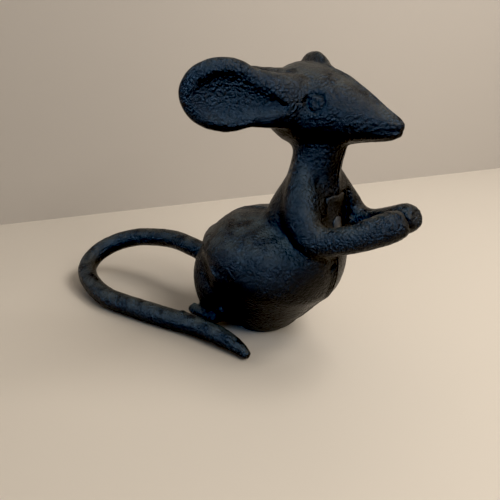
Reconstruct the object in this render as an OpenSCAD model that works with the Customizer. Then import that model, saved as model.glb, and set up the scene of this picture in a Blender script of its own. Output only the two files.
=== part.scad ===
// A seated cast mouse used as a nutcracker. +X is the way the mouse faces, +Y its left, +Z up.
// The origin is the centre of the flat seat, on the table. All sizes are in millimetres.

/* [Figure] */
// height of the figure from the table to the tops of the ears
figure_h = 151; // [120:1:190]
// length from the loop of the tail to the paws
figure_l = 219; // [175:1:265]
// widest part of the belly, side to side
belly_w = 79; // [64:1:96]
// diameter of a forearm
arm_d = 13; // [10:0.5:16]
// diameter of the tail where it leaves the back
tail_d = 12.4; // [9:0.2:15]
// thickness of the cast wall of the belly
wall = 6.5; // [5:0.5:8]

/* [Lever] */
// diameter of the pivot pin
pin_d = 7; // [5:0.5:9]
// radial gap between the pin and the bore of the lever
pin_gap = 0.05; // [0.02:0.01:0.1]
// diameter of the hub round the pin
hub_d = 16; // [13:1:18]
// width of the hub along the pin
hub_w = 13; // [10:1:15]
// thickness of each washer beside the hub
washer_t = 1; // [0.6:0.1:1.5]
// how far the tail lifts, in degrees
lift = 15; // [8:1:16]
// thickness of the arm of the lever inside the body
ram_t = 9; // [7:0.5:11]
// gap left round the moving lever inside the body
lever_gap = 0.7; // [0.4:0.1:1.5]

/* [Crusher] */
// width of the crusher plate
plate_w = 18; // [12:1:19]
// height of the crusher plate
plate_h = 26; // [20:1:30]
// thickness of the crusher plate
plate_t = 4; // [3:0.5:5]
// diameter of the rivet shank
rivet_d = 4; // [3:0.5:5]

/* [Fasteners] */
// diameter of the body screws
screw_d = 4; // [3:0.5:5]
// diameter of their heads
screw_head_d = 7.4; // [6:0.2:9]
// diameter of the two dowel pins between the halves
dowel_d = 4; // [3:0.5:5]

/* [Hidden] */
kx = figure_l / 219;
ky = belly_w / 79;
kz = figure_h / 151;
fit = 0.02;                       // gap of a part that is pressed or screwed home
seat_gap = 0.1;                   // end float between hub, washer and boss
pivot = [18 * kx, 0, 22 * kz];
boss_y = hub_w / 2 + washer_t + 2 * seat_gap;
pin_half = boss_y + 9.4;
plate_x = 42.5 * kx;              // back face of the crusher plate
plate_z = 74 * kz;                // its middle
grip_y = 10;                      // floor of the screw counterbores
screw_in = 12;                    // how far a screw runs into the right half
screw_at = [[48, 124.5], [27, 97], [-17, 13], [9, 7.5]];
dowel_at = [[-5, 4.6], [36, 107]];
dowel_half = 6.5;
cast_iron = [0.07, 0.075, 0.085];
steel = [0.55, 0.56, 0.58];

// ---- curves and lofted skins ----
function curve(s, t) =
    let (n = len(s) - 1, i = min(floor(t), n - 1), u = t - i,
         a = i > 0 ? s[i - 1] : 2 * s[0] - s[1], b = s[i], c = s[i + 1],
         d = i + 2 <= n ? s[i + 2] : 2 * s[n] - s[n - 1])
    0.5 * (2 * b + (c - a) * u + (2 * a - 5 * b + 4 * c - d) * u * u + (3 * b - a - 3 * c + d) * u * u * u);
function place(v) = [v[0] * kx, v[1] * ky, v[2] * kz];
function spot(v) = [v[0] * kx, 0, v[1] * kz];
function unit(v) = v / norm(v);
// one elliptical ring round a station [x, y, z, half width, half depth], square to the direction d
function ring(p, d, up, n) =
    let (s = unit(up - d * (up * d)), h = cross(d, s))
    [for (j = [0 : n - 1]) let (q = 360 * j / n)
        [p[0], p[1], p[2]] + s * cos(q) * p[3] + h * sin(q) * p[4]];
function along(s, m) =
    [for (k = [0 : (len(s) - 1) * m]) curve(s, k / m)];
function way(p, k) =
    let (a = p[max(k - 1, 0)], b = p[min(k + 1, len(p) - 1)]) unit([b[0] - a[0], b[1] - a[1], b[2] - a[2]]);

module skin(stations, m = 3, n = 24, up = [0, 1, 0]) {
    p = along(stations, m);
    r = len(p);
    pts = [for (k = [0 : r - 1]) each ring(p[k], way(p, k), up, n)];
    sides = [for (k = [0 : r - 2]) for (j = [0 : n - 1]) each
        [[k * n + j, (k + 1) * n + (j + 1) % n, k * n + (j + 1) % n],
         [k * n + j, (k + 1) * n + j, (k + 1) * n + (j + 1) % n]]];
    first = [[for (j = [0 : n - 1]) j]];
    last = [[for (j = [0 : n - 1]) (r - 1) * n + n - 1 - j]];
    polyhedron(points = pts, faces = concat(sides, first, last), convexity = 6);
}

function scaled(s, w, d) = [for (v = s) [v[0] * kx, v[1] * ky, v[2] * kz, v[3] * w, v[4] * d]];

belly = [
    [0, 0, 0, 16, 16], [0, 0, 4.5, 20.8, 20.8], [0.2, 0, 14, 27, 27.6], [1.6, 0, 25, 32, 33.2],
    [4, 0, 37, 37.4, 38.8], [7.2, 0, 48, 39.4, 41.4], [7.6, 0, 56, 37, 39.5], [7.2, 0, 62.5, 30.5, 33.5],
    [7, 0, 67, 22, 24.5], [7, 0, 70, 9, 10]];
chest = [
    [20, 0, 46, 15, 17], [22.4, 0, 57, 18, 21.4], [25.6, 0, 67, 18.6, 21], [28.6, 0, 77, 17.4, 19],
    [31, 0, 87, 14.8, 16], [32, 0, 96, 12.6, 13.2], [33.4, 0, 104, 12, 12.8], [34.6, 0, 112, 12.2, 13.4],
    [34.8, 0, 120, 12, 13]];
skull = [
    [5, 0, 129.5, 6, 7], [9, 0, 129.5, 13, 14], [19, 0, 128.4, 18.2, 19], [30, 0, 127.4, 19.5, 19.4],
    [41, 0, 126.6, 17, 17.2], [53, 0, 125, 12.2, 12.6], [64, 0, 122.9, 7.2, 8], [71.5, 0, 121.8, 4.2, 5],
    [75, 0, 121.2, 2.2, 2.8]];
arm = [
    [31, -7, 106, 3, 4], [32, -11, 97, 5, 7], [34, -15, 87, 6.6, 9.5], [38, -19, 77, 7, 10.5],
    [45.5, -21.2, 69.3, 6.8, 8.6], [57, -18, 70.6, 6.4, 7], [70, -12.6, 75.8, 6.2, 7.2],
    [79.5, -7.2, 80.6, 5.7, 7.2], [84.2, -5, 83.4, 3.8, 5]];
foot = [
    [-37, -24.6, 4.8, 2.6, 2.6], [-33, -25.6, 5.4, 4, 4], [-22, -27, 6.6, 4.6, 4.6],
    [-13, -27.6, 7.8, 4.7, 4.7], [-11.2, -27.6, 8, 3.6, 3.6]];
tail = [
    [-18, 0, 26.2, 0.8, 0.8], [-37, 0, 28.2, 1, 1], [-58, 0, 30.8, 0.98, 0.98], [-80, 0, 31, 0.97, 0.97],
    [-107, -6, 27, 0.97, 0.97], [-121, -17, 22, 0.97, 0.97], [-126, -29, 16, 0.97, 0.97],
    [-121, -40, 11, 0.97, 0.97], [-107, -47, 7.5, 0.97, 0.97], [-84, -51, 6.2, 0.97, 0.97],
    [-60, -48, 6.2, 0.97, 0.97], [-38, -44, 6.2, 0.97, 0.97], [-16, -39.5, 6.5, 0.92, 0.92],
    [2, -38.5, 6.5, 0.8, 0.8], [14, -38.5, 5, 0.6, 0.6], [22, -39.5, 3.2, 0.35, 0.35]];

ear_root = [
    [9, -29, 134, 13.3, 3.4], [13, -22, 132.6, 13.8, 5], [17, -13, 131.5, 14, 7], [20, -6, 131, 14, 8]];
ear_front = [
    [15.8, -30.4, 133, 13.4, 4.4], [20.5, -26, 132.2, 13, 5.2], [25, -21.5, 131.4, 12.6, 6.4],
    [30.8, -12.5, 130.6, 12, 8]];
ear_channel = [
    [11.6, -39.2, 133, 10.5, 5.5], [19.8, -33.3, 131.6, 8, 4.6], [25.9, -28, 130.4, 4.6, 2.6],
    [31.3, -23.2, 129.4, 1.5, 1]];
ear_at = [5.4, -36.4, 133.8];
mouth = [[63, -8.9, 121.2, 0.7, 0.5], [69, -5.6, 121.4, 1, 0.6], [76, -1.2, 121.4, 1, 0.6]];

function belly_skin(t) = [for (v = belly) [v[0] * kx, 0, v[2] * kz, v[3] * ky - t, v[4] * kx - t]];
// the inside of the belly: the same rings less the wall, without the top and bottom ones
function belly_core(t) = [for (i = [2 : 6]) let (v = belly[i])
    [v[0] * kx, 0, max(v[2] * kz, 9) + (i > 5 ? -1.5 : 0), v[3] * ky - t, v[4] * kx - t]];

// a dished ear whose hollow runs out into the cheek
module ear() {
    difference() {
        union() {
            translate(place(ear_at)) rotate([0, 0, -60])
                scale([5, 21.6, 16.8 * kz]) sphere(r = 1, $fn = 26);
            skin(scaled(ear_root, kz, kx), 2, 16, [0, 0, 1]);
            skin(scaled(ear_front, kz, kx), 2, 16, [0, 0, 1]);
        }
        translate(place(ear_at)) rotate([0, 0, -60]) translate([6, 2.6, -0.6])
            scale([6.2, 19, 12.6 * kz]) sphere(r = 1, $fn = 22);
        skin(scaled(ear_channel, kz, kx), 2, 14, [0, 0, 1]);
    }
}
module haunch() {
    translate(place([-15.5, -17.5, 28])) scale([19.5 * kx, 15 * ky, 27 * kz]) sphere(r = 1, $fn = 26);
}
// the flat of the chest beside the crusher plate
module breast() {
    translate(place([36.5, -12, 76])) scale([10.4 * kx, 9.8 * ky, 20 * kz]) sphere(r = 1, $fn = 22);
}
// marks sunk in the skin of each side: the ring of the eye, its pupil, the crease of the mouth
module face_marks() {
    translate(place([42.5, -16.2, 131.5])) rotate([77, 0, 14]) {
        rotate_extrude($fn = 22) translate([4.1, 0]) circle(r = 0.7, $fn = 6);
        translate([0.8, 0, 0]) sphere(r = 0.9, $fn = 8);
    }
    skin(scaled(mouth, ky, kz), 1, 6);
}
// small wedge sunk at the front of the belly, beside the seam
module belly_recess() {
    translate(place([46.5, -4.2, 50.5])) rotate([0, -12, -12]) scale([3.2, 3.6, 2.2]) sphere(r = 1, $fn = 8);
}
module right_side() {
    k = arm_d / 13;
    skin(scaled(arm, k, k), 3, 14);
    skin(scaled(foot, 1, 1), 2, 12);
    ear();
    haunch();
    breast();
}
module figure() {
    skin(belly_skin(0), 2, 32);
    skin(scaled(chest, ky, kx), 2, 24);
    skin(scaled(skull, ky, kz), 3, 26);
    right_side();
    mirror([0, 1, 0]) right_side();
}

// ---- the lever and the room it needs ----
ram_line = [
    [18, 22, 6], [12, 38, 5.2], [12.5, 53, 5], [19, 65.5, 5], [30, 73, 5],
    [plate_x / kx - fit, plate_z / kz, 5.5]];
function ribbon(s, m, g) =
    let (p = [for (k = [0 : (len(s) - 1) * m]) let (c = curve(s, k / m)) [c[0] * kx, c[1] * kz, c[2] + g]],
         n = len(p),
         run = [for (k = [0 : n - 1]) p[min(k + 1, n - 1)] - p[max(k - 1, 0)]],
         d = [for (r = run) unit([r[0], r[1]])])
    concat([for (k = [0 : n - 1]) [p[k][0] - d[k][1] * p[k][2], p[k][1] + d[k][0] * p[k][2]]],
           [for (k = [n - 1 : -1 : 0]) [p[k][0] + d[k][1] * p[k][2], p[k][1] - d[k][0] * p[k][2]]]);
module slab(pts, t) {
    rotate([90, 0, 0]) translate([0, 0, -t / 2]) linear_extrude(height = t) polygon(pts);
}
module round_y(r, t, fn = 40) {
    rotate([90, 0, 0]) cylinder(r = r, h = t, center = true, $fn = fn);
}
root_line = [[18, 22, 5.5], [2, 24, 5.2], [-12, 25.8, 5.2], [-26, 27, 5]];
root_t = min(tail_d, hub_w) - 2;
module lever_core() {
    slab(ribbon(ram_line, 3, 0), ram_t);
    translate(pivot) round_y(hub_d / 2, hub_w, 32);
    slab(ribbon(root_line, 3, 0), root_t);
}
// an outline in the XZ plane, swept through the lift of the lever and cut t wide
module swept(t) {
    steps = ceil(lift / 4);
    rotate([90, 0, 0]) translate([0, 0, -t / 2]) linear_extrude(height = t)
        for (i = [0 : steps])
            translate([pivot[0], pivot[2]]) rotate(-lift * i / steps) translate([-pivot[0], -pivot[2]])
                children();
}
module lever_room() {
    g = lever_gap;
    swept(ram_t + 2 * g) polygon(ribbon(ram_line, 2, g + 0.3));
    swept(tail_d + 2 * g)
        translate([-70 * kx, 28 * kz - tail_d / 2 - g - 0.3]) square([80 * kx, tail_d + 2 * g + 0.6]);
    swept(plate_w + 1)
        translate([plate_x - plate_t - 1, plate_z - plate_h / 2 - 0.5])
            square([2 * plate_t + 2, plate_h + 1]);
}
module cores() {
    skin(belly_core(wall), 2, 20);
    translate(place([28, 0, 127])) scale([13 * kx, 11 * ky, 11 * kz]) sphere(r = 1, $fn = 20);
}
// bosses that stand in the hollow: one for each end of the pin, one for each low screw
module bosses() {
    for (s = [-1, 1]) translate(pivot + [0, s * (boss_y + 12), 0]) round_y(pin_d / 2 + 4.5, 24, 20);
    for (i = [2, 3]) translate(spot(screw_at[i])) round_y(screw_d / 2 + 3.5, 70, 16);
}
module casting() {
    difference() {
        figure();
        difference() {
            cores();
            difference() {
                bosses();
                translate(pivot) round_y(hub_d / 2 + 6, 2 * boss_y, 24);
            }
        }
        lever_room();
        face_marks();
        mirror([0, 1, 0]) face_marks();
        belly_recess();
        translate(pivot) round_y(hub_d / 2 + 1, 2 * boss_y, 32);
        translate([-150, -150, -60]) cube([300, 300, 60]);
    }
}
module half(side) {
    resize([0, 0, 0]) intersection() {
        casting();
        translate([-150, side > 0 ? 0 : -150, -1]) cube([300, 150, 300]);
    }
}
module bore_y(at, r, y0, y1) {
    translate([at[0], y1, at[2]]) rotate([90, 0, 0]) cylinder(r = r, h = y1 - y0, $fn = 48);
}

module body_right_half() {
    color(cast_iron) difference() {
        half(-1);
        bore_y(pivot, pin_d / 2 + fit, -pin_half - 0.1, 0);
        for (s = screw_at) bore_y(spot(s), screw_d / 2 + fit, -screw_in - 1, 1);
        for (s = dowel_at) bore_y(spot(s), dowel_d / 2 + fit, -dowel_half - 0.1, 1);
    }
}
module body_left_half() {
    color(cast_iron) difference() {
        half(1);
        bore_y(pivot, pin_d / 2 + fit, 0, pin_half + 0.1);
        for (s = screw_at) {
            bore_y(spot(s), screw_d / 2 + 0.2, -1, grip_y + 1);
            bore_y(spot(s), screw_head_d / 2 + 0.3, grip_y, 60);
        }
        for (s = dowel_at) bore_y(spot(s), dowel_d / 2 + fit, -1, dowel_half + 0.1);
    }
}
module tail_lever() {
    color(cast_iron) difference() {
        resize([0, 0, 0]) union() {
            difference() {
                lever_core();
                translate([plate_x - fit, -20, plate_z - 30]) cube([20, 40, 60]);
            }
            skin(scaled(tail, tail_d / 2, tail_d / 2), 4, 14, [0.05, 0.02, 1]);
        }
        bore_y(pivot, pin_d / 2 + pin_gap, -20, 20);
        translate([plate_x - 16, 0, rivet_z]) rotate([0, 90, 0])
            cylinder(r = rivet_d / 2 + fit, h = 20, $fn = 48);
    }
}
module pivot_pin() {
    color(steel) bore_y(pivot, pin_d / 2, -pin_half, pin_half);
}
module pivot_washers() {
    color(steel) for (s = [-1, 1]) translate([0, s * (hub_w / 2 + seat_gap + washer_t / 2), 0]) difference() {
        bore_y(pivot, hub_d / 2 - 0.5, -washer_t / 2, washer_t / 2);
        bore_y(pivot, pin_d / 2 + 0.1, -washer_t, washer_t);
    }
}
rivet_z = plate_z - 1.5;
module crusher_plate() {
    r = 3;
    bow = 1.5 * plate_w;
    color(cast_iron) translate([plate_x, 0, plate_z]) difference() {
        intersection() {
            union() {
                translate([0, -plate_w / 2 + r, -plate_h / 2]) cube([plate_t, plate_w - 2 * r, plate_h]);
                translate([0, -plate_w / 2, -plate_h / 2 + r]) cube([plate_t, plate_w, plate_h - 2 * r]);
                for (y = [-1, 1]) for (z = [-1, 1])
                    translate([0, y * (plate_w / 2 - r), z * (plate_h / 2 - r)]) rotate([0, 90, 0])
                        cylinder(r = r, h = plate_t, $fn = 48);
            }
            translate([plate_t - bow, 0, -plate_h]) cylinder(r = bow, h = 2 * plate_h, $fn = 96);
        }
        translate([-1, 0, rivet_z - plate_z]) rotate([0, 90, 0])
            cylinder(r = rivet_d / 2 + fit, h = plate_t + 2, $fn = 48);
    }
}
module crusher_rivet() {
    color(steel) translate([plate_x, 0, rivet_z]) rotate([0, 90, 0]) {
        translate([0, 0, -8]) cylinder(r = rivet_d / 2, h = 8 + plate_t + 0.5, $fn = 48);
        translate([0, 0, plate_t + fit]) intersection() {
            cylinder(r = rivet_d / 2 + 1.5, h = 1.8, $fn = 48);
            translate([0, 0, -3.4]) sphere(r = 5.2, $fn = 48);
        }
    }
}
module body_screw() {
    union() {
        bore_y([0, 0, 0], screw_d / 2, -screw_in, grip_y + 0.5);
        difference() {
            bore_y([0, 0, 0], screw_head_d / 2, grip_y + fit, grip_y + 2.8);
            translate([-screw_head_d, grip_y + 1.6, -0.6]) cube([2 * screw_head_d, 4, 1.2]);
        }
    }
}
module body_screws() {
    color(steel) for (s = screw_at) translate(spot(s)) body_screw();
}
module dowel_pins() {
    color(steel) for (s = dowel_at) bore_y(spot(s), dowel_d / 2, -dowel_half, dowel_half);
}

body_right_half();
body_left_half();
tail_lever();
pivot_pin();
pivot_washers();
crusher_plate();
crusher_rivet();
body_screws();
dowel_pins();
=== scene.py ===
import bpy, bmesh, math
import numpy as np
from mathutils import Matrix, Vector, noise


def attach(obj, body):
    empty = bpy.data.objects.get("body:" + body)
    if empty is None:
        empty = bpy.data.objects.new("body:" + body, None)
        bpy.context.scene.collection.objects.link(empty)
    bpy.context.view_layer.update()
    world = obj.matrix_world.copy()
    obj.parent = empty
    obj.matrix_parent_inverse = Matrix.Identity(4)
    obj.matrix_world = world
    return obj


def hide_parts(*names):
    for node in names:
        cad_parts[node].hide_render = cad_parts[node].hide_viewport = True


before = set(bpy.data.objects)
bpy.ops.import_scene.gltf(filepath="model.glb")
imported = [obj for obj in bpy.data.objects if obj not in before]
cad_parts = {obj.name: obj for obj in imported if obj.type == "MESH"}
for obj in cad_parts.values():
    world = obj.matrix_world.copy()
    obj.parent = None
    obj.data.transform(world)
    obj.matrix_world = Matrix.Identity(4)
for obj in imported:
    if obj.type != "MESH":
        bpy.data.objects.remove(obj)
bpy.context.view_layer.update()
mm = 0.001
print("stage: frame loaded")


# helpers for skins that are lofted, fused and cut
def curveAt(stations, t):
    # a smooth curve through the stations; t runs from 0 to their count less one
    s = [Vector(v) for v in stations]
    last = len(s) - 1
    i = min(int(t), last - 1)
    u = t - i
    a = s[i - 1] if i else 2 * s[0] - s[1]
    b, c = s[i], s[i + 1]
    d = s[i + 2] if i + 2 <= last else 2 * s[last] - s[last - 1]
    return 0.5 * (2 * b + (c - a) * u + (2 * a - 5 * b + 4 * c - d) * u * u
                  + (3 * b - a - 3 * c + d) * u ** 3)


def loftRings(bm, stations, steps=8, sides=48, across=(0, 1, 0)):
    # stations are (x, y, z, half width, half depth) in millimetres
    count = (len(stations) - 1) * steps
    rows = [curveAt([tuple(v) + (0,) * (5 - len(v)) for v in stations], k / steps) for k in range(count + 1)]
    rings = []
    for k, row in enumerate(rows):
        ahead = Vector(rows[min(k + 1, count)][:3]) - Vector(rows[max(k - 1, 0)][:3])
        ahead.normalize()
        side = Vector(across) - ahead * ahead.dot(Vector(across))
        side.normalize()
        depth = ahead.cross(side)
        turn = Matrix((side * max(row[3], 0.2), depth * max(row[4], 0.2), ahead)).transposed().to_4x4()
        place = Matrix.Scale(mm, 4) @ Matrix.Translation(Vector(row[:3])) @ turn
        made = bmesh.ops.create_circle(bm, segments=sides, radius=1, matrix=place)
        rings.append(list({e for v in made["verts"] for e in v.link_edges}))
    for one, two in zip(rings, rings[1:]):
        bmesh.ops.bridge_loops(bm, edges=one + two)
    for end in (rings[0], rings[-1]):
        bmesh.ops.contextual_create(bm, geom=end)


def newPiece(name, bm):
    mesh = bpy.data.meshes.new(name)
    bmesh.ops.recalc_face_normals(bm, faces=bm.faces)
    bm.to_mesh(mesh)
    bm.free()
    piece = bpy.data.objects.new(name, mesh)
    bpy.context.scene.collection.objects.link(piece)
    return piece


def applied(piece):
    # bakes the modifiers into the mesh
    graph = bpy.context.evaluated_depsgraph_get()
    old = piece.data
    piece.data = bpy.data.meshes.new_from_object(piece.evaluated_get(graph))
    piece.modifiers.clear()
    bpy.data.meshes.remove(old)
    return piece


def fuse(piece, voxel, reach, keep=None):
    # makes one skin of overlapping shells, then eases the corners between them as far as reach;
    # keep says for each place how much of that reach is used
    grow = piece.modifiers.new("fuse", "REMESH")
    grow.mode = "VOXEL"
    grow.voxel_size = voxel * mm
    applied(piece)
    bm = bmesh.new()
    bm.from_mesh(piece.data)
    rounds = [math.ceil((reach * (keep(v.co / mm) if keep else 1) / voxel) ** 2 * 2) for v in bm.verts]
    for k in range(max(rounds)):
        soft = [v for v, count in zip(bm.verts, rounds) if count > k]
        bmesh.ops.smooth_vert(bm, verts=soft, factor=0.5, use_axis_x=True, use_axis_y=True, use_axis_z=True)
    bm.to_mesh(piece.data)
    bm.free()
    return piece


def cutWith(piece, cutter, way="DIFFERENCE"):
    cut = piece.modifiers.new("cut", "BOOLEAN")
    cut.operation = way
    cut.solver = "MANIFOLD"
    cut.object = cutter
    applied(piece)
    bpy.data.objects.remove(cutter)
    return piece


def rodAlongY(name, x, z, radius, y0, y1, sides=40):
    bm = bmesh.new()
    place = Matrix.Translation(Vector((x, (y0 + y1) / 2, z)) * mm) @ Matrix.Rotation(math.pi / 2, 4, "X")
    bmesh.ops.create_cone(bm, cap_ends=True, segments=sides, radius1=radius * mm, radius2=radius * mm,
                          depth=abs(y1 - y0) * mm, matrix=place)
    return newPiece(name, bm)


def slabAcrossY(bm, outline, thick):
    # an outline of (x, z) points in millimetres, drawn out to a slab across the figure
    corners = [bm.verts.new((x * mm, -thick / 2 * mm, z * mm)) for x, z in outline]
    face = bm.faces.new(corners)
    drawn = bmesh.ops.extrude_face_region(bm, geom=[face])
    moved = [g for g in drawn["geom"] if isinstance(g, bmesh.types.BMVert)]
    bmesh.ops.translate(bm, verts=moved, vec=(0, thick * mm, 0))


def ribbonOutline(line, steps, extra=0):
    # both edges of a band of varying half width that follows a line of (x, z, half width)
    count = (len(line) - 1) * steps
    rows = [curveAt(line, k / steps) for k in range(count + 1)]
    one, two = [], []
    for k, (x, z, half) in enumerate(rows):
        dx = rows[min(k + 1, count)][0] - rows[max(k - 1, 0)][0]
        dz = rows[min(k + 1, count)][1] - rows[max(k - 1, 0)][1]
        size = math.hypot(dx, dz)
        off = half + extra
        one.append((x - dz / size * off, z + dx / size * off))
        two.append((x + dz / size * off, z - dx / size * off))
    return one + two[::-1]


def lineDistance(points, line):
    # distance of every point from a line of a few straight stretches, and how far along it
    if len(line) == 1:
        return np.linalg.norm(points - np.array(line[0], float), axis=1), None
    best = np.full(len(points), 1e9)
    along = np.zeros(len(points))
    for k, (a, b) in enumerate(zip(line, line[1:])):
        a, b = np.array(a, float), np.array(b, float)
        run = b - a
        t = np.clip((points - a) @ run / (run @ run), 0, 1)
        d = np.linalg.norm(points - a - t[:, None] * run, axis=1)
        near = d < best
        best[near], along[near] = d[near], (k + t[near]) / (len(line) - 1)
    return best, along


def workSurface(piece, marks, roughness, lumps=(), seam=None):
    # sinks or raises the marks of the casting, then gives the whole skin its uneven sand cast face
    mesh = piece.data
    count = len(mesh.vertices)
    co = np.empty(count * 3)
    mesh.vertices.foreach_get("co", co)
    co = co.reshape(-1, 3) / mm
    out = np.empty(count * 3)
    mesh.vertex_normals.foreach_get("vector", out)
    out = out.reshape(-1, 3)
    rise = np.zeros(count)
    for mark in marks:
        if "ring" in mark:
            centre = np.array(mark["ring"][:3], float)
            away = np.abs(np.linalg.norm(co - centre, axis=1) - mark["ring"][3])
            fade = 1
        else:
            away, along = lineDistance(co, mark["line"])
            fade = 1 if along is None else np.minimum(1, 8 * np.minimum(along, 1 - along) + 0.15)
        rise += mark["rise"] * fade * np.exp(-((away / mark["wide"]) ** 2))
    for size, amount in roughness:
        rise += amount * np.array([noise.noise(Vector(p) / size) for p in co])
    for lump in lumps:
        fade = np.exp(-(np.linalg.norm(co - np.array(lump["at"]), axis=1) / lump["reach"]) ** 2)
        near = np.flatnonzero(fade > 0.02)
        bumps = np.array([noise.noise(Vector(p) / lump["size"]) for p in co[near]])
        rise[near] += lump["rise"] * fade[near] * bumps
    if seam:
        off = np.abs(co[:, 1])
        rise += seam["ridge"] * np.exp(-(((off - seam["ridgeAt"]) / seam["ridgeWide"]) ** 2))
        rise += seam["groove"] * np.exp(-((off / seam["grooveWide"]) ** 2))
    co = (co + out * rise[:, None]) * mm
    co[:, 2] = np.maximum(co[:, 2], 0)
    mesh.vertices.foreach_set("co", co.ravel())
    mesh.update()


# the cast body: one skin for the whole figure, parted down the middle afterwards; all in millimetres
body = {
    # rings up the belly, the neck and the skull: x, y, z, half width, half depth
    "belly": [(0, 0, -6, 10, 10), (0, 0, 0, 16, 16), (0, 0, 4.5, 20.8, 20.8), (0.2, 0, 14, 27, 27.6),
              (1.6, 0, 25, 32, 33.2), (4, 0, 37, 37.4, 38.8), (7.2, 0, 48, 39.4, 41.4),
              (7.6, 0, 56, 37, 39.5), (7.2, 0, 62.5, 30.5, 33.5), (7, 0, 67, 22, 24.5), (7, 0, 70, 9, 10)],
    "chest": [(20, 0, 46, 15, 17), (22.4, 0, 57, 18, 21.4), (25.6, 0, 67, 18.6, 21), (28.6, 0, 77, 17.4, 19),
              (31, 0, 87, 14.8, 16), (32, 0, 96, 12.6, 13.2), (33.4, 0, 104, 12, 12.8),
              (34.6, 0, 112, 12.2, 13.4), (34.8, 0, 120, 12, 13)],
    "skull": [(5, 0, 129.5, 6, 7), (9, 0, 129.5, 13, 14), (19, 0, 128.4, 18.2, 19),
              (30, 0, 127.4, 19.5, 19.4), (41, 0, 126.6, 17, 17.2), (53, 0, 125, 12.2, 12.6),
              (64, 0, 122.9, 7.2, 8), (71.5, 0, 121.8, 4.2, 5), (75, 0, 121.2, 2.2, 2.8)],
    # the right side's own parts
    "arm": [(31, -7, 106, 3, 4), (32, -11, 97, 5, 7), (34, -15, 87, 6.6, 9.5), (38, -19, 77, 7, 10.5),
            (45.5, -21.2, 69.3, 6.8, 8.6), (57, -18, 70.6, 6.4, 7), (70, -12.6, 75.8, 6.2, 7.2),
            (79.5, -7.2, 80.6, 5.7, 7.2), (84.2, -5, 83.4, 3.8, 5)],
    "breastAt": (36.5, -12, 76), "breast": (10.4, 9.8, 20),
    "foot": [(-37, -24.6, 4.8, 2.6, 2.6), (-33, -25.6, 5.4, 4, 4), (-22, -27, 6.6, 4.6, 4.6),
             (-13, -27.6, 7.8, 4.7, 4.7), (-11.2, -27.6, 8, 3.6, 3.6)],
    "haunchAt": (-15.5, -17.5, 28), "haunch": (19.5, 15, 27),
    "earRoot": [(9, -29, 134, 13.3, 3.4), (13, -22, 132.6, 13.8, 5), (17, -13, 131.5, 14, 7),
                (20, -6, 131, 14, 8)],
    "earFront": [(15.8, -30.4, 133, 13.4, 4.4), (20.5, -26, 132.2, 13, 5.2), (25, -21.5, 131.4, 12.6, 6.4),
                 (30.8, -12.5, 130.6, 12, 8)],
    "earChannel": [(11.6, -39.2, 133, 10.5, 5.5), (19.8, -33.3, 131.6, 8, 4.6), (25.9, -28, 130.4, 4.6, 2.6),
                   (31.3, -23.2, 129.4, 1.5, 1)],
    "earCentre": (5.4, -36.4, 133.8), "earTurn": -60, "earSize": (5, 21.6, 16.8),
    "dishAt": (6, 2.6, -0.6), "earDish": (6.2, 19, 12.6),
    "wall": 6.5, "hollowFloor": 9, "topDrop": 1.5,
    "skinVoxel": 0.62, "quickVoxel": 0.9, "earVoxel": 0.6, "reach": 4.2,
    "roughness": [(7, 0.16), (2.6, 0.10), (1.3, 0.05)],     # size and height of the sand cast face
}
marks = {
    # on both sides: ring and pit of the eye, mouth, haunch swell and its crease, hollow above the toes
    "sides": [
        {"ring": (41, -16.5, 131.6, 4.1), "wide": 0.9, "rise": -0.95},
        {"line": [(38.4, -17.3, 134), (37.2, -17.5, 131.5), (38.6, -17.1, 129)], "wide": 1.1, "rise": -0.8},
        {"line": [(41.6, -16.3, 131.4)], "wide": 1.1, "rise": -0.8},
        {"line": [(60, -9.6, 120.6), (67, -6.8, 120.6), (73, -3.4, 120.8), (76, -1.2, 121)],
         "wide": 0.7, "rise": -0.8},
        {"line": [(-1, -37.5, 46), (-6, -35.5, 34), (-11, -33, 22)], "wide": 6, "rise": 1.7},
        {"line": [(8, -39.5, 47), (5, -38.2, 36), (2, -34, 26)], "wide": 1.2, "rise": -0.9},
        {"line": [(-7.3, -29.5, 17)], "wide": 3, "rise": -2},
    ],
    # found once only: recess and groove of the belly, pit and nub of the haunch, furrow beside the plate
    "middle": [
        {"line": [(47.4, -4.4, 50), (47.2, -2.6, 48.2)], "wide": 1.9, "rise": -3.2},
        {"line": [(47.6, -3.4, 46), (46, -3.6, 36), (40, -3.8, 24), (30, -3.6, 12)],
         "wide": 0.8, "rise": -0.5},
        {"line": [(-31.5, -24.5, 14.5)], "wide": 1.1, "rise": -1.8},
        {"line": [(-33, -25, 9.5)], "wide": 1.5, "rise": 1.1},
        {"line": [(44.5, 12.4, 88), (46, 12.8, 80), (47.4, 13.6, 71)], "wide": 1.3, "rise": -2.4},
    ],
    # pebbly patches on the paws and the breast
    "lumps": [
        {"at": (79, 7, 81), "reach": 8, "size": 1.7, "rise": 0.6},
        {"at": (79, -7, 81), "reach": 8, "size": 1.7, "rise": 0.6},
        {"at": (46, -14, 74), "reach": 8, "size": 1.6, "rise": 0.3},
    ],
    "seam": {"ridge": 0.45, "ridgeAt": 1.1, "ridgeWide": 0.7, "groove": -0.5, "grooveWide": 0.35},
}


def ellipsoid(bm, centre, radii, turn=0, segments=64):
    place = (Matrix.Translation(Vector(centre) * mm) @ Matrix.Rotation(math.radians(turn), 4, "Z")
             @ Matrix.Diagonal((radii[0] * mm, radii[1] * mm, radii[2] * mm, 1)))
    bmesh.ops.create_uvsphere(bm, u_segments=segments, v_segments=segments // 2, radius=1, matrix=place)


def mirrored(bm):
    # the left side is the right side turned over
    twin = bmesh.ops.duplicate(bm, geom=bm.verts[:] + bm.edges[:] + bm.faces[:])["geom"]
    verts = [g for g in twin if isinstance(g, bmesh.types.BMVert)]
    bmesh.ops.scale(bm, vec=(1, -1, 1), verts=verts)


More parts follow.
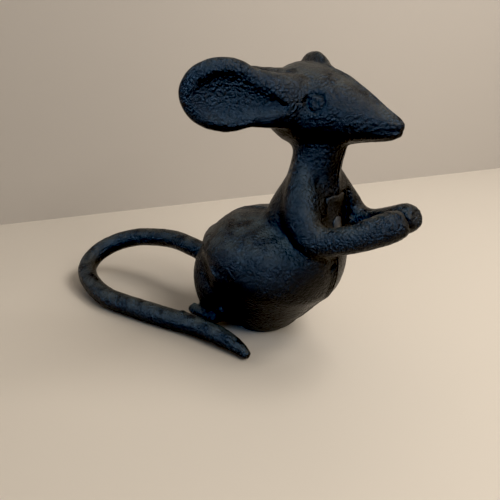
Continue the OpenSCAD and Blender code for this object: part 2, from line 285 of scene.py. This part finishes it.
def softness(p):
    # how much the joins are eased: fully on the body and neck, little on the ears, face and paws
    x, y, z = p
    def ramp(v, low, high):
        return min(max((v - low) / (high - low), 0), 1)
    head = ramp(z, 112, 122) * (1 - 0.5 * ramp(x, 8, 16) * (1 - ramp(x, 26, 34)))
    paw = ramp(x, 56, 70)
    return 1 - 0.74 * max(head, paw)


def makeFigure():
    bm = bmesh.new()
    ellipsoid(bm, body["earCentre"], body["earSize"], body["earTurn"])
    ear = newPiece("ear", bm)
    bm = bmesh.new()
    earPlace = (Matrix.Translation(Vector(body["earCentre"]))
                @ Matrix.Rotation(math.radians(body["earTurn"]), 4, "Z"))
    ellipsoid(bm, earPlace @ Vector(body["dishAt"]), body["earDish"], body["earTurn"])
    dish = newPiece("dish", bm)
    bm = bmesh.new()
    bm.from_mesh(ear.data)
    loftRings(bm, body["earRoot"], 8, 40, across=(0, 0, 1))
    loftRings(bm, body["earFront"], 8, 40, across=(0, 0, 1))
    bm.to_mesh(ear.data)
    bm.free()
    fuse(ear, body["earVoxel"], 0)
    cutWith(ear, dish)
    bm = bmesh.new()
    loftRings(bm, body["earChannel"], 8, 40, across=(0, 0, 1))
    cutWith(ear, newPiece("channel", bm))
    bm = bmesh.new()
    bm.from_mesh(ear.data)
    bpy.data.objects.remove(ear)
    loftRings(bm, body["arm"], 8, 40)
    loftRings(bm, body["foot"], 6, 32)
    ellipsoid(bm, body["haunchAt"], body["haunch"])
    ellipsoid(bm, body["breastAt"], body["breast"])
    mirrored(bm)
    loftRings(bm, body["belly"], 8, 128)
    loftRings(bm, body["chest"], 8, 96)
    loftRings(bm, body["skull"], 8, 96)
    figure = newPiece("figure", bm)
    fuse(figure, body["skinVoxel"], body["reach"], softness)
    bm = bmesh.new()
    bm.from_mesh(figure.data)
    bmesh.ops.bisect_plane(bm, geom=bm.verts[:] + bm.edges[:] + bm.faces[:], plane_co=(0, 0, 0),
                           plane_no=(0, 0, -1), clear_outer=True, dist=1e-7)
    bmesh.ops.contextual_create(bm, geom=[e for e in bm.edges if e.is_boundary])
    bmesh.ops.triangulate(bm, faces=[f for f in bm.faces if len(f.verts) > 4])
    bm.to_mesh(figure.data)
    bm.free()
    return figure


figure = makeFigure()
print("stage: figure fused,", len(figure.data.polygons), "faces")


def turnedOver(mark):
    # a mark of the right side, moved to the left side
    twin = dict(mark)
    if "ring" in mark:
        x, y, z, radius = mark["ring"]
        twin["ring"] = (x, -y, z, radius)
    else:
        twin["line"] = [(x, -y, z) for x, y, z in mark["line"]]
    return twin


def openHalf(side):
    # one side of the skin, open down the middle, with its marks sunk and its seam raised
    bm = bmesh.new()
    bm.from_mesh(figure.data)
    bmesh.ops.bisect_plane(bm, geom=bm.verts[:] + bm.edges[:] + bm.faces[:], plane_co=(0, 0, 0),
                           plane_no=(0, -side, 0), clear_outer=True, dist=1e-7)
    middle = [k for k, v in enumerate(bm.verts) if abs(v.co.y) < 1e-6]
    mesh = bpy.data.meshes.new("half")
    bm.to_mesh(mesh)
    bm.free()
    half = bpy.data.objects.new("half", mesh)
    bpy.context.scene.collection.objects.link(half)
    mine = marks["sides"] if side < 0 else [turnedOver(mark) for mark in marks["sides"]]
    workSurface(half, mine + marks["middle"], body["roughness"], marks["lumps"], marks["seam"])
    bm = bmesh.new()
    bm.from_mesh(half.data)
    bm.verts.ensure_lookup_table()
    for k in middle:
        bm.verts[k].co.y = 0
    bmesh.ops.contextual_create(bm, geom=[e for e in bm.edges if e.is_boundary])
    bmesh.ops.triangulate(bm, faces=[f for f in bm.faces if len(f.verts) > 4])
    bmesh.ops.recalc_face_normals(bm, faces=bm.faces)
    bm.to_mesh(half.data)
    bm.free()
    return half


halves = {"right": openHalf(-1), "left": openHalf(1)}
bpy.data.objects.remove(figure)
print("stage: halves parted")


# the room inside the casting, and the bores
lever = {
    "pivot": (18, 22), "lift": 15, "gap": 0.7, "extraGap": 0.3,
    "ram": [(18, 22, 6), (12, 38, 5.2), (12.5, 53, 5), (19, 65.5, 5), (30, 73, 5), (42.5, 74, 5.5)],
    "ramThick": 9, "tailThick": 12.4, "tailHeight": 28, "tailSlot": (-70, 10), "hubWide": 14.6,
    "pin": 7, "pinHalf": 17.1, "pinPlay": 0.05, "boss": 4.5, "bossEnd": 30, "roomVoxel": 0.7, "steps": 4,
}
fasteners = {
    "screws": [(48, 124.5), (27, 97), (-17, 13), (9, 7.5)], "screw": 4, "screwIn": 13,
    "head": 7.4, "headPlay": 0.3, "headAt": 10, "headEnd": 60,
    "dowels": [(-5, 4.6), (36, 107)], "dowel": 4, "dowelHalf": 6.6,
}
plate = {
    "x": 42.5, "z": 74, "width": 18, "height": 26, "thick": 4, "voxel": 0.35, "reach": 0.9,
    "roughness": [(5, 0.3), (1.6, 0.16), (0.8, 0.06)],
}


def turned(outline, angle):
    # an outline in (x, z), lifted about the pivot the way the tail turns it
    c, s = math.cos(math.radians(angle)), math.sin(math.radians(angle))
    px, pz = lever["pivot"]
    return [(px + (x - px) * c + (z - pz) * s, pz - (x - px) * s + (z - pz) * c) for x, z in outline]


def box(x0, x1, z0, z1):
    return [(x0, z0), (x0, z1), (x1, z1), (x1, z0)]


def makeRoom():
    # where the lever, its tail and its plate pass from rest to full lift, together with the hollow belly
    bm = bmesh.new()
    gap = lever["gap"]
    tall = lever["tailThick"] / 2 + gap + lever["extraGap"]
    low, high = lever["tailHeight"] - tall, lever["tailHeight"] + tall
    plateBox = box(plate["x"] - plate["thick"] - 1, plate["x"] + plate["thick"] + 1,
                   plate["z"] - plate["height"] / 2 - 0.5, plate["z"] + plate["height"] / 2 + 0.5)
    for k in range(lever["steps"] + 1):
        angle = lever["lift"] * k / lever["steps"]
        ram = turned(ribbonOutline(lever["ram"], 4, gap + lever["extraGap"]), angle)
        slabAcrossY(bm, ram, lever["ramThick"] + 2 * gap)
        slabAcrossY(bm, turned(box(*lever["tailSlot"], low, high), angle), lever["tailThick"] + 2 * gap)
        slabAcrossY(bm, turned(plateBox, angle), plate["width"] + 1)
    wall, bottom = body["wall"], body["hollowFloor"]
    hollow = [(x, y, max(z, bottom), w - wall, d - wall) for x, y, z, w, d in body["belly"][3:8]]
    x, y, z, w, d = hollow[-1]
    hollow[-1] = (x, y, z - body["topDrop"], w, d)
    loftRings(bm, hollow, 6, 48)
    room = fuse(newPiece("room", bm), lever["roomVoxel"], 0)
    px, pz = lever["pivot"]
    for side in (-1, 1):
        ends = sorted((side * lever["hubWide"] / 2, side * lever["bossEnd"]))
        cutWith(room, rodAlongY("boss", px, pz, lever["pin"] / 2 + lever["boss"], *ends))
    return room


room = makeRoom()
# bores as (x, z, radius, from y, to y)
headRadius = fasteners["head"] / 2 + fasteners["headPlay"]
dowelHalf = fasteners["dowelHalf"]
pinHalf = lever["pinHalf"] + 0.1
seats = []
for x, z in fasteners["screws"]:
    seats.append((x, z, fasteners["screw"] / 2, -fasteners["screwIn"], fasteners["headAt"] + 1))
for x, z in fasteners["screws"]:
    seats.append((x, z, headRadius, fasteners["headAt"], fasteners["headEnd"]))
seats += [(x, z, fasteners["dowel"] / 2, -dowelHalf, dowelHalf) for x, z in fasteners["dowels"]]
seats.append((*lever["pivot"], lever["pin"] / 2, -pinHalf, pinHalf))
for side, half in halves.items():
    carve = room.copy()
    carve.data = room.data.copy()
    bpy.context.scene.collection.objects.link(carve)
    cutWith(half, carve)
    for x, z, radius, y0, y1 in seats:
        if (side == "left" and y1 > 0) or (side == "right" and y0 < 0):
            cutWith(half, rodAlongY("seat", x, z, radius, y0, y1))
    half.name = "cast_body_" + side
    half.data.name = half.name
bpy.data.objects.remove(room)
print("stage: halves hollowed and bored,", [len(h.data.polygons) for h in halves.values()], "faces")


# the tail lever and the plate it pushes
tail = {
    # x, y, z and the thickness there as a share of the full one
    "line": [(-18, 0, 26.2, 0.8), (-37, 0, 28.2, 1), (-58, 0, 30.8, 0.98), (-80, 0, 31, 0.97),
             (-107, -6, 27, 0.97), (-121, -17, 22, 0.97), (-126, -29, 16, 0.97), (-121, -40, 11, 0.97),
             (-107, -47, 7.5, 0.97), (-84, -51, 6.2, 0.97), (-60, -48, 6.2, 0.97), (-38, -44, 6.2, 0.97),
             (-16, -39.5, 6.5, 0.92), (2, -38.5, 6.5, 0.8), (14, -38.5, 5, 0.6), (22, -39.5, 3.2, 0.35)],
    "radius": 6.2, "voxel": 0.6, "reach": 0.8,
    "roughness": [(6, 0.14), (2.4, 0.12), (1.3, 0.06)],
    "marks": [
        {"line": [(-60, -42.5, 8)], "wide": 0.8, "rise": 1.2},
        {"line": [(-27, -40, 11.5)], "wide": 1.9, "rise": 0.9},
        {"line": [(-94, -3, 36)], "wide": 0.9, "rise": -0.8},
    ],
}


def cadCopy(node):
    # a copy of a CAD node with its loose corners joined; the node itself stays as it is
    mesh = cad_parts[node].data.copy()
    mesh.materials.clear()
    bm = bmesh.new()
    bm.from_mesh(mesh)
    bmesh.ops.remove_doubles(bm, verts=bm.verts, dist=1e-6)
    return bm


def makeTail():
    bm = cadCopy("tail_lever")
    r = tail["radius"]
    loftRings(bm, [(x, y, z, r * k, r * k) for x, y, z, k in tail["line"]], 10, 48, across=(0.05, 0.02, 1))
    piece = newPiece("cast_tail_lever", bm)
    fuse(piece, tail["voxel"], tail["reach"])
    workSurface(piece, tail["marks"], tail["roughness"])
    return cutWith(piece, rodAlongY("pinBore", *lever["pivot"], lever["pin"] / 2 + lever["pinPlay"], -20, 20))


def makePlate():
    piece = newPiece("cast_crusher_plate", cadCopy("crusher_plate"))
    fuse(piece, plate["voxel"], plate["reach"])
    workSurface(piece, [], plate["roughness"])
    return piece


tailPiece = makeTail()
platePiece = makePlate()
print("stage: tail and plate made,", len(tailPiece.data.polygons), len(platePiece.data.polygons), "faces")


# finishes
def makeGroup(name, inputs, outputs):
    group = bpy.data.node_groups.new(name, "ShaderNodeTree")
    for label, kind, value in inputs:
        socket = group.interface.new_socket(name=label, in_out="INPUT", socket_type=kind)
        if value is not None:
            socket.default_value = value
    for label, kind in outputs:
        group.interface.new_socket(name=label, in_out="OUTPUT", socket_type=kind)
    return group, group.nodes.new("NodeGroupInput"), group.nodes.new("NodeGroupOutput")


def mathNode(tree, operation, a, b, clamp=False):
    node = tree.nodes.new("ShaderNodeMath")
    node.operation, node.use_clamp = operation, clamp
    for k, v in enumerate((a, b)):
        if hasattr(v, "is_output"):
            tree.links.new(v, node.inputs[k])
        else:
            node.inputs[k].default_value = v
    return node.outputs[0]


def spread(tree, value, low, high, outLow=0.0, outHigh=1.0):
    node = tree.nodes.new("ShaderNodeMapRange")
    node.inputs["From Min"].default_value, node.inputs["From Max"].default_value = low, high
    node.inputs["To Min"].default_value, node.inputs["To Max"].default_value = outLow, outHigh
    tree.links.new(value, node.inputs["Value"])
    return node.outputs["Result"]


def castGrainGroup():
    # the pebbly face of sand cast iron, bright specks where paint is thin, and wide blotches of wear
    number = "NodeSocketFloat"
    group, inp, out = makeGroup(
        "castGrain",
        [("Vector", "NodeSocketVector", None), ("Grain Size", number, 0.0013), ("Blotch Size", number, 0.02)],
        [("Height", number), ("Specks", number), ("Blotches", number)])
    fine = mathNode(group, "DIVIDE", 1.0, inp.outputs["Grain Size"])
    wide = mathNode(group, "DIVIDE", 1.0, inp.outputs["Blotch Size"])
    pebble = group.nodes.new("ShaderNodeTexVoronoi")
    pebble.feature = "SMOOTH_F1"
    pebble.inputs["Smoothness"].default_value = 0.55
    grit = group.nodes.new("ShaderNodeTexNoise")
    grit.inputs["Detail"].default_value = 3
    grit.inputs["Roughness"].default_value = 0.65
    blotch = group.nodes.new("ShaderNodeTexNoise")
    blotch.inputs["Detail"].default_value = 4
    for node, scale in ((pebble, fine), (grit, mathNode(group, "MULTIPLY", fine, 1.7)), (blotch, wide)):
        group.links.new(inp.outputs["Vector"], node.inputs["Vector"])
        group.links.new(scale, node.inputs["Scale"])
    bumps = mathNode(group, "SUBTRACT", 1.0, pebble.outputs["Distance"])
    gritty = mathNode(group, "MULTIPLY", grit.outputs["Fac"], 0.7)
    height = mathNode(group, "ADD", mathNode(group, "MULTIPLY", bumps, 0.6), gritty)
    group.links.new(height, out.inputs["Height"])
    group.links.new(spread(group, grit.outputs["Fac"], 0.62, 0.74), out.inputs["Specks"])
    group.links.new(spread(group, blotch.outputs["Fac"], 0.35, 0.68), out.inputs["Blotches"])
    return group


def dustAndSheenGroup():
    # patchy dust and a painted warm highlight wherever a face looks up
    group, inp, out = makeGroup(
        "settledDustAndSheen",
        [("Vector", "NodeSocketVector", None), ("Amount", "NodeSocketFloat", 0.5)],
        [("Mask", "NodeSocketFloat")])
    facing = group.nodes.new("ShaderNodeNewGeometry")
    split = group.nodes.new("ShaderNodeSeparateXYZ")
    group.links.new(facing.outputs["Normal"], split.inputs["Vector"])
    up = spread(group, split.outputs["Z"], 0.25, 1.0)
    patch = group.nodes.new("ShaderNodeTexNoise")
    patch.inputs["Scale"].default_value = 160
    patch.inputs["Detail"].default_value = 5
    group.links.new(inp.outputs["Vector"], patch.inputs["Vector"])
    mask = mathNode(group, "MULTIPLY", up, spread(group, patch.outputs["Fac"], 0.35, 0.7))
    group.links.new(mathNode(group, "MULTIPLY", mask, inp.outputs["Amount"], True), out.inputs["Mask"])
    return group


groups = {"grain": castGrainGroup(), "dustAndSheen": dustAndSheenGroup()}


def blend(tree, factor, a, b):
    node = tree.nodes.new("ShaderNodeMix")
    node.data_type = "RGBA"
    tree.links.new(factor, node.inputs["Factor"])
    for socket, v in ((node.inputs["A"], a), (node.inputs["B"], b)):
        if hasattr(v, "is_output"):
            tree.links.new(v, socket)
        else:
            socket.default_value = (*v, 1)
    return node.outputs["Result"]


def castFinish(name, look):
    # black paint over rough cast iron: uneven gloss, pits and grit, a little dust and a painted warm
    # highlight where it lies level
    material = bpy.data.materials.new(name)
    material.use_nodes = True
    tree = material.node_tree
    shader = tree.nodes["Principled BSDF"]
    place = tree.nodes.new("ShaderNodeTexCoord")
    grain = tree.nodes.new("ShaderNodeGroup")
    grain.node_tree = groups["grain"]
    grain.inputs["Grain Size"].default_value = look["grain"]
    grain.inputs["Blotch Size"].default_value = look["blotch"]
    dustAndSheen = tree.nodes.new("ShaderNodeGroup")
    dustAndSheen.node_tree = groups["dustAndSheen"]
    dustAndSheen.inputs["Amount"].default_value = look["dustAndSheen"]
    for node in (grain, dustAndSheen):
        tree.links.new(place.outputs["Object"], node.inputs["Vector"])
    tone = blend(tree, grain.outputs["Blotches"], look["paint"], look["worn"])
    tone = blend(tree, mathNode(tree, "MULTIPLY", grain.outputs["Specks"], look["speck"]), tone, look["bare"])
    # faces that look up turn brown: settled dust and a painted warm highlight
    tone = blend(tree, dustAndSheen.outputs["Mask"], tone, look["dustAndSheenTone"])
    tree.links.new(tone, shader.inputs["Base Color"])
    gloss = spread(tree, grain.outputs["Blotches"], 0, 1, look["gloss"][0], look["gloss"][1])
    gloss = mathNode(tree, "ADD", gloss, mathNode(tree, "MULTIPLY", dustAndSheen.outputs["Mask"], 0.25), True)
    tree.links.new(gloss, shader.inputs["Roughness"])
    bump = tree.nodes.new("ShaderNodeBump")
    bump.inputs["Strength"].default_value = look["bump"]
    bump.inputs["Distance"].default_value = look["relief"] * mm
    tree.links.new(grain.outputs["Height"], bump.inputs["Height"])
    tree.links.new(bump.outputs["Normal"], shader.inputs["Normal"])
    shader.inputs["Metallic"].default_value = look["metal"]
    shader.inputs["Specular IOR Level"].default_value = look["shine"]
    return material


# each finish's up-facing brown is the colour of settled dust and of a painted warm highlight
finishes = {
    "paintedIron": castFinish("painted_black_iron", {
        "paint": (0.0012, 0.0013, 0.0016), "worn": (0.003, 0.0028, 0.0026), "bare": (0.02, 0.018, 0.016),
        "speck": 0.25, "dustAndSheen": 0.6, "dustAndSheenTone": (0.060, 0.049, 0.033), "gloss": (0.22, 0.34),
        "grain": 0.0014, "blotch": 0.02, "bump": 1.0, "relief": 1.0, "metal": 0.0, "shine": 0.2}),
    "wornIron": castFinish("worn_black_iron", {
        "paint": (0.003, 0.0028, 0.0025), "worn": (0.010, 0.0085, 0.007), "bare": (0.05, 0.042, 0.035),
        "speck": 0.5, "dustAndSheen": 0.3, "dustAndSheenTone": (0.03, 0.025, 0.02), "gloss": (0.32, 0.5),
        "grain": 0.0012, "blotch": 0.009, "bump": 0.9, "relief": 0.6, "metal": 0.0, "shine": 0.25}),
    "blackenedSteel": castFinish("blackened_steel", {
        "paint": (0.010, 0.009, 0.008), "worn": (0.03, 0.026, 0.022), "bare": (0.16, 0.14, 0.12),
        "speck": 0.6, "dustAndSheen": 0.2, "dustAndSheenTone": (0.05, 0.04, 0.03), "gloss": (0.3, 0.45),
        "grain": 0.0006, "blotch": 0.003, "bump": 0.4, "relief": 0.2, "metal": 0.0, "shine": 0.4}),
    "steel": castFinish("dulled_steel", {
        "paint": (0.32, 0.31, 0.30), "worn": (0.20, 0.19, 0.18), "bare": (0.45, 0.44, 0.42),
        "speck": 0.4, "dustAndSheen": 0.1, "dustAndSheenTone": (0.16, 0.13, 0.11), "gloss": (0.3, 0.48),
        "grain": 0.0005, "blotch": 0.004, "bump": 0.2, "relief": 0.08, "metal": 1.0, "shine": 0.5}),
}


def dress(piece, finish):
    piece.data.materials.clear()
    piece.data.materials.append(finishes[finish])


sharpFrom = math.radians(48)
for piece, node, rider, finish in ((halves["right"], "body_right_half", "body", "paintedIron"),
                                   (halves["left"], "body_left_half", "body", "paintedIron"),
                                   (tailPiece, "tail_lever", "lever", "paintedIron"),
                                   (platePiece, "crusher_plate", "lever", "wornIron")):
    dress(piece, finish)
    piece.data.shade_smooth()
    piece.data.set_sharp_from_angle(angle=sharpFrom)
    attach(piece, rider)
    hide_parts(node)
for node in ("pivot_pin", "pivot_washers", "dowel_pins"):
    dress(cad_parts[node], "steel")
for node in ("crusher_rivet", "body_screws"):
    dress(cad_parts[node], "blackenedSteel")
print("stage: finishes on")


# table, wall, light and camera
studio = {"wallAngle": 60.7, "wallAway": 0.2315, "table": (0.79, 0.745, 0.68), "wall": (0.57, 0.54, 0.51),
          "half": 3}


def seenFromFront(material):
    # the wall is clear from behind, so the figure can be looked at from every side
    tree = material.node_tree
    mix = tree.nodes.new("ShaderNodeMixShader")
    clear = tree.nodes.new("ShaderNodeBsdfTransparent")
    facing = tree.nodes.new("ShaderNodeNewGeometry")
    tree.links.new(facing.outputs["Backfacing"], mix.inputs[0])
    tree.links.new(tree.nodes["Principled BSDF"].outputs[0], mix.inputs[1])
    tree.links.new(clear.outputs[0], mix.inputs[2])
    tree.links.new(mix.outputs[0], tree.nodes["Material Output"].inputs["Surface"])
    return material


def plainSurface(name, tone, rough):
    material = bpy.data.materials.new(name)
    material.use_nodes = True
    shader = material.node_tree.nodes["Principled BSDF"]
    shader.inputs["Base Color"].default_value = (*tone, 1)
    shader.inputs["Roughness"].default_value = rough
    return material


bm = bmesh.new()
bmesh.ops.create_grid(bm, x_segments=1, y_segments=1, size=studio["half"])
table = newPiece("table_top", bm)
table.data.materials.append(plainSurface("pale_table", studio["table"], 0.5))
wallTurn = Matrix.Rotation(math.radians(studio["wallAngle"]), 4, "Z")
wallPlace = wallTurn @ Matrix.Translation((0, studio["wallAway"], studio["half"]))
bm = bmesh.new()
bmesh.ops.create_grid(bm, x_segments=1, y_segments=1, size=studio["half"],
                      matrix=wallPlace @ Matrix.Rotation(math.pi / 2, 4, "X"))
wall = newPiece("wall", bm)
wall.data.materials.append(seenFromFront(plainSurface("pale_wall", studio["wall"], 0.8)))


def softLight(name, place, aim, size, power, tone, only=None):
    data = bpy.data.lights.new(name, "AREA")
    data.shape = "DISK"
    data.size = size
    data.energy = power
    data.color = tone
    lamp = bpy.data.objects.new(name, data)
    lamp.location = place
    lamp.rotation_euler = (Vector(aim) - Vector(place)).to_track_quat("-Z", "Y").to_euler()
    bpy.context.scene.collection.objects.link(lamp)
    if only:
        lamp.light_linking.receiver_collection = only


# the cool light falls on the figure and not on the table
figureOnly = bpy.data.collections.new("figure_only")
for piece in (*halves.values(), tailPiece, platePiece):
    figureOnly.objects.link(piece)
for node in ("crusher_rivet", "body_screws"):
    figureOnly.objects.link(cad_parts[node])
softLight("warm_ceiling", (0.40, 0.30, 0.74), (0, 0, 0.05), 0.36, 3.4, (1.0, 0.91, 0.80))
softLight("warm_side", (0.66, -0.04, 0.62), (0, 0, 0.05), 0.46, 3.5, (1.0, 0.90, 0.78))
softLight("cool_window", (0.14, -0.72, 0.54), (0, 0, 0.06), 0.28, 20, (0.36, 0.62, 1.0), figureOnly)
world = bpy.data.worlds.new("soft_room")
world.use_nodes = True
world.node_tree.nodes["Background"].inputs["Color"].default_value = (0.95, 0.93, 0.90, 1)
world.node_tree.nodes["Background"].inputs["Strength"].default_value = 0.11
bpy.context.scene.world = world

view = {"from": (0.1699, -0.2144, 0.1626), "at": (0.0093, -0.023, 0.055), "lens": 37.44}
cameraData = bpy.data.cameras.new("camera")
cameraData.lens = view["lens"]
cameraData.sensor_width = 36
cameraData.clip_start = 0.01
camera = bpy.data.objects.new("camera", cameraData)
camera.location = view["from"]
camera.rotation_euler = (Vector(view["at"]) - Vector(view["from"])).to_track_quat("-Z", "Y").to_euler()
bpy.context.scene.collection.objects.link(camera)
bpy.context.scene.camera = camera
tones = bpy.context.scene.view_settings
tones.view_transform = "Standard"
tones.use_curve_mapping = True
tones.curve_mapping.black_level = (0.012, 0.012, 0.012)
tones.curve_mapping.update()
print("stage: table, light and camera set")
